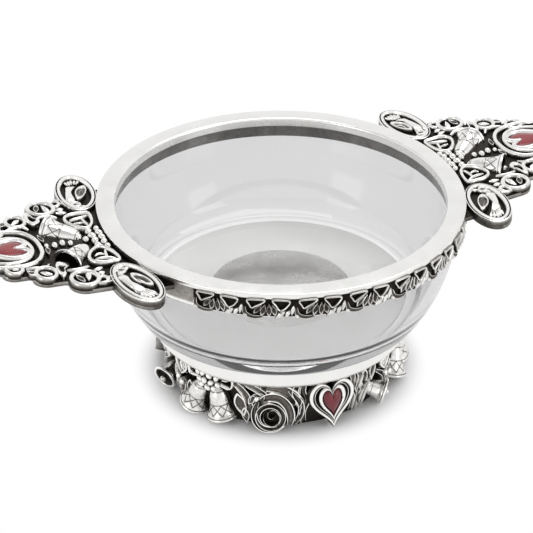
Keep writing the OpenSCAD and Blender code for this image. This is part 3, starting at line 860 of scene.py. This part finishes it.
def make_handle(side):
    """The plate with its raised work, the ribbons round the heart and a row of beads."""
    cast = Casting(on_handle(side))
    handle_plate(cast)
    for m in (-1, 1):
        handle_half(cast, m)
    half = [(49, 0), (44.6, 5.6), (39.8, 9.7), (33.6, 11.4), (27, 9.9), (23.6, 5.4), (22.8, 0)]
    outer = curve(half + [(x, -y) for x, y in half[-2:0:-1]], closed=True)
    cast.strip(outer, 1.9, 2, RECESS_Z, closed=True)
    inner = curve([
        (44.8, 2.8), (40.8, 5.9), (34.6, 8.4), (29.2, 7.4), (26.2, 3.8), (25.6, -0.6), (27.2, -5.2),
        (31, -7.8), (35.4, -7.8)
    ])
    cast.strip(inner, 1.5, 1.8, RECESS_Z, taper=0.5)
    for x, y, long, wide in (
            (12.4, 0.3, 1.3, 1), (15, -0.4, 1.5, 1.1), (17.8, 0.3, 1.5, 1.1), (20.4, -0.2, 1.1, 0.9)):
        cast.bead((x, y), (long, wide), RECESS_Z, 0.3)
    cast.pewter("handle_cast_" + side, "handle_" + side)


def make_handle_bow(side):
    """Ribbon loops and a bunch of beads beside the rim."""
    cast = Casting(on_handle(side))
    z = RECESS_Z
    loop = curve([
        (4.6, 6.2), (7, 7.4), (9, 9.8), (10, 12.8), (9.2, 15.2), (6.8, 16.4), (3.8, 16.4), (1.1, 15.9),
        (1.1, 12.2), (2.3, 8.6)
    ], closed=True)
    for m in (-1, 1):
        cast.strip(mirrored(loop, m), 1.5, 2.2, z, closed=True)
        cast.strip(mirrored(curve([(1.6, 15), (4.4, 13.7), (8.4, 13.2)]), m), 1.4, 1.9, z, taper=0.3)
        cast.strip(mirrored(curve([(3.4, 8), (4, 10.8), (4.3, 13.4)]), m), 1.3, 1.9, z, taper=0.3)
        cast.strip(mirrored(curve([(4.4, 10.8), (6.2, 10.4), (7.8, 11)]), m), 1, 1.7, z, taper=0.3)
    for x, y, long, wide, turn in (
            (1.8, 0.4, 1.6, 1.2, 20), (2, 3.3, 1.6, 1.2, -30), (1.8, -2.6, 1.6, 1.2, 35),
            (4.6, 1.9, 1.7, 1.3, -15), (4.6, -1.3, 1.6, 1.3, 60), (7.2, 0.3, 1.4, 1.1, 0),
            (4.6, 4.9, 1.5, 1.2, 25), (4.8, -4.4, 1.5, 1.2, -40), (1.7, 6, 1.3, 1.1, 10),
            (1.7, -5.5, 1.4, 1.1, -20)):
        cast.bead((x, y), (long, wide), z, 0.9, math.radians(turn))
    cast.pewter("handle_ribbon_" + side, "handle_bow_" + side)


def bell_rows(length, radius, start=0.0):
    """Rows for a bell from its crown, or a share of its length, to its flared mouth and back inside."""
    shape = curve([
        (0, 0.2), (0.03, 0.27), (0.07, 0.32), (0.14, 0.46), (0.3, 0.58), (0.55, 0.66), (0.76, 0.76),
        (0.9, 0.92), (0.96, 1), (1, 0.98)
    ], per_span=8)
    t, r = shape.T
    mark = np.full(len(t), 0.95)
    ring_w = 0.014
    groove_w = 0.013
    groove_after = 0.035
    for ring, rise in ((0.09, 0.03), (0.48, 0.014), (0.88, 0.02)):
        r = r + rise * np.exp(-((t - ring) / ring_w) ** 2)
        mark -= 0.5 * np.exp(-((t - ring - groove_after) / groove_w) ** 2)
    outside = [(length * a, radius * b, c) for a, b, c in zip(t, r, mark) if a >= start]
    inside = [
        (length, 0.84 * radius, 0.95), (0.97 * length, 0.78 * radius, 0.2),
        (0.88 * length, 0.62 * radius, 0.02), (0.85 * length, AXIS_R, 0.02)
    ]
    return outside + inside


def bell(cast, into, length, radius, floor=NO_FLOOR, start=0.0, plain=False):
    """A bell with a clapper, and a band of lozenges above its mouth unless it is plain."""
    low, high = 0.5, 0.87
    middle = 0.69
    reach = 0.15
    line_w = 0.016
    count = 4
    phase = 0.7

    def lozenges(along, angle):
        t = along / length
        wave = reach * 2 / math.pi * np.arcsin(np.sin(count * angle + phase))
        off = np.minimum(np.abs(t - middle - wave), np.abs(t - middle + wave))
        return np.clip(1.4 - off / line_w, 0, 1) * (low < t < high)

    cast.turned(bell_rows(length, radius, start), into, floor, 96, None if plain else lozenges)
    stem = [(0.84 * length, 0.1 * radius, 0.3), (0.92 * length, 0.1 * radius, 0.4)]
    knob = []
    for a in np.linspace(0.1, 3.0, 9):
        along = 0.9 * length + 0.28 * radius * (1 - math.cos(a))
        knob.append((along, max(AXIS_R, 0.26 * radius * math.sin(a)), 0.75))
    cast.turned(stem, into, floor, 12)
    cast.turned(knob, into, floor, 16)


def handle_and_half(number):
    """Which handle, and which half of it, holds a bell or dove of this number."""
    return "right" if number < 3 else "left", 1 if number % 2 else -1


def make_handle_bell(number):
    """A bell that lies on the plate, flat below."""
    side, m = handle_and_half(number)
    cast = Casting(on_handle(side))
    axis = (math.cos(BELL_ANGLE), m * math.sin(BELL_ANGLE), 0)
    across = (-m * math.sin(BELL_ANGLE), math.cos(BELL_ANGLE), 0)
    into = along_axis((BELL_CROWN[0], m * BELL_CROWN[1], RECESS_Z - BELL_SINK), axis, across, (0, 0, 1))
    bell(cast, into, BELL_L, BELL_R, BELL_SINK - BELL_BACK)
    cast.pewter("handle_bell_cast_%d" % number, "handle_bell_%d" % number)


def make_dove(number):
    """A dove in the oval loop: body, ringed head, beak, wing and a fan of tail feathers."""
    side, m = handle_and_half(number)
    cast = Casting(on_handle(side))
    z = RECESS_Z
    body = curve([
        (2.2, 25.2), (4, 24.4), (5.6, 25.6), (5.1, 28.2), (4.3, 31), (3.3, 33.8), (2.2, 36.4), (-1.2, 36.2),
        (0.5, 33.8), (1.7, 30.8), (2, 27.8)
    ], closed=True, per_span=4)
    cast.form(mirrored(body, m), 1.9, z, centre=mirrored((2.8, 30), m))
    cast.strip(mirrored(arc((2.9, 22.6), 1.3, 0, 360, 21)[:-1], m), 1.2, 2, z, closed=True)
    cast.form(mirrored(leaf((1.9, 21.8), (-0.6, 20.7), 1.4), m), 1.5, z)
    cast.strip(mirrored([(3.5, 23.4), (3.9, 24.4), (4, 25.4)], m), 2.4, 1.8, z)
    wing = curve([
        (1.3, 26), (1.4, 28.8), (0.2, 31.8), (-2, 33.8), (-3.8, 34), (-3.5, 31), (-2.2, 28.2), (-0.4, 26.2)
    ], closed=True, per_span=5)
    cast.form(mirrored(wing, m), 2.1, z, BROAD)
    for start, end in (((0.2, 28.2), (-2.4, 32.4)), ((0.6, 29.8), (-1.2, 32.4))):
        middle = (np.add(start, end) + (0.5, 0.3)) / 2
        cast.strip(mirrored(curve([start, middle, end]), m), 0.5, 1.8, z, taper=0.5)
    for end in (-3.2, -1.6, 0, 1.6, 3.2):
        feather = leaf((0.5 + end * 0.25, 34.6), (-0.9 + end * 0.82, 40.9 - abs(end) * 0.4), 1.2, 0.72)
        cast.form(mirrored(feather, m), 1.7, z)
    cast.pewter("dove_cast_%d" % number, "dove_%d" % number)


def heart_skin(cast, rows, centre=(0, 0)):
    """A skin of heart outlines. rows are (length and width, height, mark)."""
    least = 0.2
    rings = []
    for size, height, _ in rows:
        flat = heart(np.maximum(size, least), centre)
        rings.append(np.column_stack([flat, np.full(len(flat), height)]))
    cast.loft(rings, np.array([row[2] for row in rows])[:, None])


def make_handle_heart(side):
    """The bezel and the enamel heart in it."""
    z = RECESS_Z
    centre = (HEART_X, 0)
    cast = Casting(on_handle(side))
    cast.strip(heart((HANDLE_BEZEL + HANDLE_HEART) / 2, centre), 2.1, 2.1, z, closed=True)
    cast.finish("heart_bezel_" + side, POLISHED, ["handle_bezel_" + side])
    cast = Casting(on_handle(side))
    size = HANDLE_HEART
    # The marks paint a highlight on the enamel's crown and shade at its edges.
    heart_skin(cast, [
        (size - 0.1, z - 0.1, 0.1), (size - 0.1, z + 1.1, 0.3), (size * 0.93, z + 1.4, 0.6),
        (size * 0.75, z + 1.62, 0.8), (size * 0.4, z + 1.75, 0.9), (size * 0.03, z + 1.78, 0.9)
    ], centre)
    cast.finish("heart_enamel_" + side, ENAMEL, ["handle_heart_" + side])


# Foot ornaments
def on_rose(number):
    """The leaning plane of a rose."""
    return leaning(THIRD * (number - 1) + ROSE_AZ, ROSE_Y, ROSE_TILT, ROSE_RISE)


def make_rose(number):
    """A rose seen half from the side: broad folded petals round an open heart."""
    cast = Casting(on_rose(number))
    disc = arc((0, 0), 0.84 * ROSE_R, 0, 360, 41)[:-1]
    cast.form(disc, 1.2, 0, [(1, -3.5, 0.1), (1, 0.6, 0.2), (0.9, 1, 0.2), (0.03, 1, 0.2)])

    def petal(points, width, rise, section=EDGED, taper=0.6):
        cast.strip(curve(points), width, rise, 0, section, taper=taper)

    petal([(-4.4, 3.4), (-1.6, 5.7), (2.4, 5.8), (5.4, 3.2), (6.5, -0.6), (6, -4.2)], 3.4, 3.8)
    petal([(-4.8, 3.8), (-5.9, 0.6), (-5.2, -2.8), (-2.8, -5), (1, -5.4), (4.2, -4.2)], 2.5, 3.6)
    cast.strip(ellipse((-0.3, -0.7), (4.1, 4.3), count=40), 1.9, 4.5, 0, EDGED, closed=True)
    petal([
        (-2.4, 1), (-2.8, -1.2), (-1.6, -3.4), (0.6, -3.9), (2.4, -2.4), (2.6, 0.2), (1, 1.8), (-0.8, 1.4),
        (-1.2, -0.4), (0, -1.5), (1, -0.6)
    ], 0.95, 4.9, WALL, 0.3)
    petal([(-7.2, 3.2), (-6, 6), (-3.4, 6.2), (-3.6, 4)], 1.7, 3, EDGED, 0.4)
    cast.bead((-5.2, 4.9), (1.2, 1), 2)
    cast.pewter("rose_%d" % number, "foot_rose_%d" % number)


def make_foot_bell(number):
    """A hanging bell of a pair that leans apart at the mouths."""
    right = number % 2 == 0
    pair = BOW_AZ + THIRD * ((number - 1) // 2)
    cast = Casting(on_tangent(pair + (FOOT_BELL_AZ if right else -LEFT_AZ * FOOT_BELL_AZ), FOOT_R))
    lean = math.radians(FOOT_BELL_LEAN if right else -LEFT_LEAN * FOOT_BELL_LEAN)
    down = np.array([math.sin(lean), -math.cos(lean), 0])
    mouth = np.array([0, FOOT_BELL_Y, FOOT_BELL_OUT])
    across = (math.cos(lean), math.sin(lean), 0)
    into = along_axis(mouth - FOOT_BELL_L * down, down, across, (0, 0, 1))
    bell(cast, into, FOOT_BELL_L, FOOT_BELL_R, -FOOT_BELL_OUT - FOOT_BELL_BACK)
    # The bell's marks are scaled down as painted shade.
    cast.pewter("foot_bell_cast_%d" % number, "foot_bell_%d" % number, FOOT_BELL_PAINTED_SHADE_SCALE)


def make_side_bell(number):
    """A bell that stands out of the wall, mouth outwards."""
    cast = Casting(on_tangent(SIDE_BELL_AZ + THIRD * (number - 1), FOOT_R))
    axis = Vector(SIDE_BELL_WAY).normalized()
    across = Vector((axis.z, 0, -axis.x)).normalized()
    crown = Vector(SIDE_BELL_MOUTH) - SIDE_BELL_L * axis
    into = along_axis(crown, axis, across, axis.cross(across))
    bell(cast, into, SIDE_BELL_L, SIDE_BELL_R, start=0.2, plain=True)
    cast.pewter("side_bell_cast_%d" % number, "foot_side_bell_%d" % number)


def make_leaf(number):
    """A broad veined leaf."""
    cast = Casting(on_wall(LEAF_AZ + THIRD * (number - 1), FOOT_R))
    cast.form(leaf((0, FOOT_H - 0.1), (0, LEAF_TIP), LEAF_W, 0.5, 15), 2.4, levels=RIMMED)
    cast.strip([(0, 18), (0, 14), (0, 9.8)], 0.8, 2.6, taper=0.4)
    for m in (-1, 1):
        for y in (16.6, 14.6, 12.8):
            cast.strip(curve([(0, y), (1.2 * m, y - 0.9), (2.3 * m, y - 2.2)]), 0.5, 2.1, taper=0.5)
    cast.pewter("leaf_%d" % number, "foot_leaf_%d" % number)


def make_foot_bow(number):
    """Short ribbon loops and a bunch of beads over a pair of bells."""
    cast = Casting(on_wall(BOW_AZ + THIRD * (number - 1), FOOT_R))
    loop = [(2.4, 15.9), (4.8, 17.6), (8.2, 18), (8.8, 16), (7.8, 14), (4.6, 14.5)]
    fold = [(3.8, 15.9), (5.4, 16.3), (7, 16)]
    for m in (-1, 1):
        cast.strip(curve(np.array(loop) * (m, 1), closed=True), 1.4, 3.2, closed=True)
        cast.strip(curve(np.array(fold) * (m, 1)), 0.8, 2.6, taper=0.5)
    for x, y, out, turn in (
            (-4, 16.8, 2.6, 20), (-1.7, 17.3, 3, -30), (0.8, 17.2, 3.1, 50), (3.2, 16.9, 2.7, -10),
            (-3, 14.6, 3, 60), (-0.7, 15, 3.5, 10), (1.6, 14.9, 3.4, -40), (3.8, 14.5, 2.8, 30),
            (-1.9, 12.9, 3.4, -20), (0.5, 12.7, 3.6, 40), (2.6, 12.8, 3.3, 0)):
        cast.bead((x, y), (1.35, 1.05), out, 0, math.radians(turn))
        cast.strip([(x, y - 0.3), (x, y), (x, y + 0.3)], 1.4, out + 0.2)
    cast.pewter("foot_ribbon_%d" % number, "foot_bow_%d" % number)


def on_plaque(number):
    """The leaning plane of a plaque, drawn with the heart's tip at +X, which points down here."""
    plane = leaning(PLAQUE_AZ + THIRD * (number - 1), PLAQUE_Y, PLAQUE_TILT, PLAQUE_RISE)

    def place(p):
        return plane(np.stack([p[:, 1], -p[:, 0], p[:, 2]], 1))

    return place


def make_plaque(number):
    """A heart-shaped plate with a raised edge and bezel, and its enamel."""
    cast = Casting(on_plaque(number))
    heart_skin(cast, [
        (PLAQUE, -3.4, 0.2), (PLAQUE, 1.9, 0.6), (PLAQUE - 0.5, 2.15, 1), (PLAQUE_IN + 0.6, 2.15, 1),
        (PLAQUE_IN, 1.9, 0.5), (PLAQUE_IN - 0.2, 1, 0.03), (FOOT_BEZEL + 0.2, 1, 0.03),
        (FOOT_BEZEL, 2.3, 0.8), (FOOT_BEZEL - 0.6, 2.6, 1), (FOOT_HEART + 0.6, 2.6, 1),
        (FOOT_HEART, 2.3, 0.8), (FOOT_HEART - 0.2, 1, 0.1), (FOOT_HEART * 0.02, 1, 0.1)
    ])
    cast.strip(heart((PLAQUE_IN + FOOT_BEZEL) / 2 + [0, 0.6]), 0.5, 0.9, 1, closed=True)
    cast.pewter("plaque_%d" % number, "foot_plaque_%d" % number)
    cast = Casting(on_plaque(number))
    size = FOOT_HEART
    # The marks paint a highlight on the enamel's crown and shade at its edges.
    heart_skin(cast, [
        (size - 0.25, 0.95, 0.05), (size - 0.25, 1.7, 0.1), (size * 0.9, 2.3, 0.3), (size * 0.7, 2.85, 0.5),
        (size * 0.4, 3.25, 0.6), (size * 0.03, 3.35, 0.6)
    ])
    cast.finish("plaque_enamel_%d" % number, ENAMEL, ["foot_heart_%d" % number])


def make_fold(number):
    """Ribbon tails beside a plaque."""
    flip = -1 if number % 2 == 0 else 1
    cast = Casting(on_wall(PLAQUE_AZ + THIRD * ((number - 1) // 2) + flip * FOLD_AZ, FOOT_R, flip))
    for points, width, rise in (
            ([(-1.6, 18.6), (-0.7, 15), (-1.9, 11), (-0.8, 7), (-1.2, 2.4)], 2.3, 2.6),
            ([(0.8, 18.6), (1.8, 15.2), (0.6, 11.6), (1.6, 8.4)], 2.3, 3.4),
            ([(2.6, 13.4), (2, 9.6), (1.2, 5.8), (0.2, 0.9)], 2.2, 2.4)):
        cast.strip(curve(points), width, rise, section=EDGED, taper=0.3)
    cast.pewter("ribbon_tails_%d" % number, "foot_fold_%d" % number)


make_glass()
make_rim()
make_drum()
make_bond()
make_foot_ring()
make_garland("garland_front", -90)
make_garland("garland_back", 90)
for side in ("right", "left"):
    make_handle(side)
    make_handle_bow(side)
    make_handle_heart(side)
for number in range(1, 5):
    make_handle_bell(number)
    make_dove(number)
for number in range(1, 4):
    make_rose(number)
    make_side_bell(number)
    make_leaf(number)
    make_foot_bow(number)
    make_plaque(number)
for number in range(1, 7):
    make_foot_bell(number)
    make_fold(number)
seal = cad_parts["rim_seal"]
seal.data.materials.clear()
seal.data.materials.append(RESIN)


# Floor, backdrop, lamps and camera
FLOOR_HALF = 3.0
SHADE_R = (40, 53)
LAMP_AIM = Vector((0, 0, 0.04))
LAMP_AWAY = 1.0
LENS = 120.6
SENSOR = 36
CLIP_START = 0.01
CAMERA_AT = Vector((-213.5, -479.4, 367.2)) * MM
CAMERA_AIM = Vector((-24.32, -43.79, 70.46)) * MM
SKY = [(0.0, 1.0), (0.35, 0.95), (0.6, 0.88), (0.76, 0.68), (0.9, 0.55), (1.0, 0.5)]


def seen_directly(add):
    """1 on rays from the camera, from metal and from glass, 0 on the rest."""
    path = add("ShaderNodeLightPath").outputs
    total = path["Is Camera Ray"]
    for name in ("Is Glossy Ray", "Is Transmission Ray"):
        total = maths(add, "MAXIMUM", total, path[name])
    return total


def make_floor():
    """A pale floor: lit and shaded round the foot, plain white further out."""
    mesh = bpy.data.meshes.new("floor")
    corners = [(x * FLOOR_HALF, y * FLOOR_HALF, 0) for x, y in ((-1, -1), (1, -1), (1, 1), (-1, 1))]
    mesh.from_pydata(corners, [], [(0, 1, 2, 3)])
    material, shader, output, add = new_material("pale_floor")
    feed(shader, {"Base Color": (0.8, 0.8, 0.8, 1), "Roughness": 0.9, "Specular IOR Level": 0.0})
    place = add("ShaderNodeTexCoord").outputs["Object"]
    away = add("ShaderNodeVectorMath", {0: place}, operation="LENGTH").outputs["Value"]
    inputs = {"Value": away, "From Min": SHADE_R[0] * MM, "From Max": SHADE_R[1] * MM}
    share = add("ShaderNodeMapRange", inputs, interpolation_type="SMOOTHSTEP").outputs["Result"]
    seen = maths(add, "MULTIPLY", share, seen_directly(add))
    white = add("ShaderNodeEmission", {"Color": (1, 1, 1, 1), "Strength": 1.0})
    mixed = add("ShaderNodeMixShader", {0: seen, 1: shader.outputs["BSDF"], 2: white.outputs["Emission"]})
    feed(output, {"Surface": mixed.outputs["Shader"]})
    mesh.materials.append(material)
    floor = new_object("floor", mesh)


def make_world():
    """A studio that is white at the horizon and darker overhead."""
    world = bpy.data.worlds.new("studio")
    world.use_nodes = True
    bpy.context.scene.world = world
    tree = world.node_tree
    add = node_adder(tree)
    place = add("ShaderNodeTexCoord").outputs["Generated"]
    height = add("ShaderNodeSeparateXYZ", {0: place}).outputs["Z"]
    shade = ramp(add, height, [(z, (level, level, level)) for z, level in SKY])
    feed(tree.nodes["Background"], {"Color": shade})


def make_lamp(name, azimuth, elevation, size, power):
    """A soft lamp that faces the object. size is its width and height."""
    a, e = math.radians(azimuth), math.radians(elevation)
    way = Vector((math.cos(a) * math.cos(e), math.sin(a) * math.cos(e), math.sin(e)))
    lamp = bpy.data.lights.new(name, "AREA")
    lamp.shape = "RECTANGLE"
    lamp.size, lamp.size_y = size
    lamp.energy = power
    obj = new_object(name, lamp)
    obj.location = LAMP_AIM + way * LAMP_AWAY
    obj.rotation_euler = (-way).to_track_quat("-Z", "Y").to_euler()


def make_camera():
    """The photograph's view, aimed at a point in front and left of the rim's middle."""
    lens = bpy.data.cameras.new("camera")
    lens.lens = LENS
    lens.sensor_width = SENSOR
    lens.clip_start = CLIP_START
    camera = new_object("camera", lens)
    camera.location = CAMERA_AT
    camera.rotation_euler = (CAMERA_AIM - CAMERA_AT).to_track_quat("-Z", "Y").to_euler()
    bpy.context.scene.camera = camera


make_floor()
make_world()
make_lamp("above", 40, 72, (0.7, 0.7), 3.4)
make_lamp("right", -54, 20, (0.42, 0.66), 1.2)
make_lamp("left", -163, 13, (0.42, 0.66), 1.2)
make_camera()
bpy.context.scene.view_settings.view_transform = "Standard"
